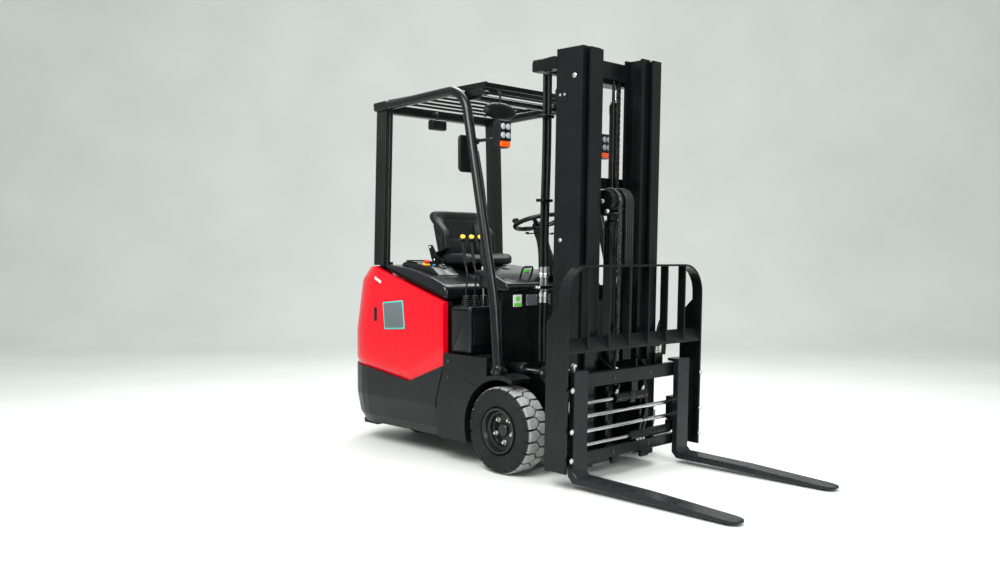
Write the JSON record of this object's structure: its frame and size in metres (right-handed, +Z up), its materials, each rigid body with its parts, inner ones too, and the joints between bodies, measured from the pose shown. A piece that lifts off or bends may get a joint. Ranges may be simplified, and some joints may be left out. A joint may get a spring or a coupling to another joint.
{
  "type": "three-wheel electric counterbalance forklift",
  "caption": "Sit-on electric forklift with a triple mast, fork positioner, load backrest, overhead guard, red side panels and a cast tail weight over steered twin rear wheels.",
  "frame": {"origin": "on the floor under the centre of the whole machine's bounding box, fork tips included", "axes": "+Z up; the forks point along -Y, the tail weight along +Y; the truck's left side is +X"},
  "size_m": [1.12, 2.8428, 2.1926],
  "materials": {
    "black_paint": "satin",
    "casting_paint": "satin",
    "red_paint": "gloss",
    "black_plastic": "satin",
    "seat_vinyl": "grained vinyl",
    "tyre_rubber": "matte",
    "rim_paint": "satin",
    "rod_chrome": "ground and plated",
    "fork_paint": "satin",
    "chain_steel": "oiled",
    "hose_rubber": "satin",
    "lamp_lens": "clear",
    "battery_case": "matte"
  },
  "bodies": {
    "root": {"chassis": "black_paint", "counterweight": "casting_paint", "right_side_panel": "red_paint", "left_side_panel": "red_paint", "battery": "battery_case", "drive_axle": "casting_paint", "dashboard": "black_plastic", "lever_cowl": "black_plastic", "hydraulic_levers": "black_plastic", "steering_column": "black_plastic", "overhead_guard": "black_paint", "guard_grille": "black_paint", "right_work_lamp": "lamp_lens", "left_work_lamp": "lamp_lens", "right_mirror": "black_plastic", "left_mirror": "black_plastic", "panoramic_mirror": "black_plastic", "rear_spot_lamp": "lamp_lens"},
    "front_right_wheel": {"front_right_tyre": "tyre_rubber", "front_right_rim": "rim_paint"},
    "front_left_wheel": {"front_left_tyre": "tyre_rubber", "front_left_rim": "rim_paint"},
    "steer_turret": {"rear_steer_turret": "casting_paint"},
    "rear_wheels": {"rear_wheel_hub": "rim_paint", "rear_right_tyre": "tyre_rubber", "rear_left_tyre": "tyre_rubber"},
    "steering_wheel": {"steering_wheel": "black_plastic"},
    "deck": {"battery_deck": "black_plastic", "seat_cushion": "seat_vinyl", "seat_back": "seat_vinyl", "side_console": "black_plastic"},
    "mast_outer": {"mast_outer_stage": "black_paint", "right_lift_barrel": "black_paint", "left_lift_barrel": "black_paint", "mast_hoses": "hose_rubber"},
    "right_tilt_barrel": {"right_tilt_barrel": "black_paint"},
    "left_tilt_barrel": {"left_tilt_barrel": "black_paint"},
    "right_tilt_rod": {"right_tilt_rod": "rod_chrome"},
    "left_tilt_rod": {"left_tilt_rod": "rod_chrome"},
    "mast_middle": {"mast_middle_stage": "black_paint", "right_lift_rod": "rod_chrome", "left_lift_rod": "rod_chrome"},
    "mast_inner": {"mast_inner_stage": "black_paint", "free_lift_barrel": "black_paint"},
    "crosshead": {"free_lift_crosshead": "black_paint", "free_lift_chain": "chain_steel", "carriage_hoses": "hose_rubber"},
    "carriage": {"carriage": "black_paint", "fork_guide_rods": "rod_chrome", "load_backrest": "black_paint", "right_positioner_barrel": "black_paint"},
    "right_fork": {"right_fork": "fork_paint", "right_positioner_rod": "rod_chrome"},
    "left_fork": {"left_fork": "fork_paint", "left_positioner_barrel": "black_paint"}
  },
  "joints": [
    {"name": "front_right_wheel_spin", "type": "hinge", "parent": "root", "child": "front_right_wheel", "pos_m": [-0.4545, -0.02857, 0.227], "axis": [1, 0, 0], "continuous": true},
    {"name": "front_left_wheel_spin", "type": "hinge", "parent": "root", "child": "front_left_wheel", "pos_m": [0.4545, -0.02857, 0.227], "axis": [1, 0, 0], "continuous": true},
    {"name": "rear_steer", "type": "hinge", "parent": "root", "child": "steer_turret", "pos_m": [0, 1.17143, 0.3], "axis": [0, 0, 1], "range_deg": [-90, 90]},
    {"name": "rear_wheels_spin", "type": "hinge", "parent": "steer_turret", "child": "rear_wheels", "pos_m": [0, 1.17143, 0.19], "axis": [1, 0, 0], "continuous": true},
    {"name": "steering_wheel_turn", "type": "hinge", "parent": "root", "child": "steering_wheel", "pos_m": [0, 0.18643, 1.33], "axis": [0, 0.2756, 0.9613], "range_deg": [-900, 900]},
    {"name": "battery_deck_lid", "type": "hinge", "parent": "root", "child": "deck", "pos_m": [0, 0.97643, 1.09], "axis": [-1, 0, 0], "range_deg": [0, 50]},
    {"name": "mast_tilt", "type": "hinge", "parent": "root", "child": "mast_outer", "pos_m": [0, -0.11857, 0.2], "axis": [1, 0, 0], "range_deg": [-5.3, 1.7]},
    {"name": "right_tilt_pivot", "type": "hinge", "parent": "root", "child": "right_tilt_barrel", "pos_m": [-0.34, 0.39143, 0.53033], "axis": [1, 0, 0], "range_deg": [-1.5, 1.5]},
    {"name": "left_tilt_pivot", "type": "hinge", "parent": "root", "child": "left_tilt_barrel", "pos_m": [0.34, 0.39143, 0.53033], "axis": [1, 0, 0], "range_deg": [-1.5, 1.5]},
    {"name": "right_tilt_stroke", "type": "slide", "parent": "right_tilt_barrel", "child": "right_tilt_rod", "axis": [0, -1, 0], "range_m": [-0.034, 0.012]},
    {"name": "left_tilt_stroke", "type": "slide", "parent": "left_tilt_barrel", "child": "left_tilt_rod", "axis": [0, -1, 0], "range_m": [-0.034, 0.012]},
    {"name": "middle_stage_lift", "type": "slide", "parent": "mast_outer", "child": "mast_middle", "axis": [0, -0.0227, 0.9997], "range_m": [0, 1.3]},
    {"name": "inner_stage_lift", "type": "slide", "parent": "mast_middle", "child": "mast_inner", "axis": [0, -0.0227, 0.9997], "range_m": [0, 1.3]},
    {"name": "carriage_lift", "type": "slide", "parent": "mast_inner", "child": "carriage", "axis": [0, -0.0227, 0.9997], "range_m": [0, 1.2]},
    {"name": "crosshead_lift", "type": "slide", "parent": "mast_inner", "child": "crosshead", "axis": [0, -0.0227, 0.9997], "range_m": [0, 0.6]},
    {"name": "right_fork_shift", "type": "slide", "parent": "carriage", "child": "right_fork", "axis": [1, 0, 0], "range_m": [0, 0.18]},
    {"name": "left_fork_shift", "type": "slide", "parent": "carriage", "child": "left_fork", "axis": [-1, 0, 0], "range_m": [0, 0.18]}
  ],
  "couplings": [
    {"joint": "steering_wheel_turn", "follows": "rear_steer", "ratio": -10},
    {"joint": "right_tilt_pivot", "follows": "mast_tilt", "ratio": 0.115},
    {"joint": "left_tilt_pivot", "follows": "mast_tilt", "ratio": 0.115},
    {"joint": "right_tilt_stroke", "follows": "mast_tilt", "m_per_rad": 0.3325},
    {"joint": "left_tilt_stroke", "follows": "mast_tilt", "m_per_rad": 0.3325},
    {"joint": "inner_stage_lift", "follows": "middle_stage_lift", "ratio": 1},
    {"joint": "crosshead_lift", "follows": "carriage_lift", "ratio": 0.5}
  ]
}
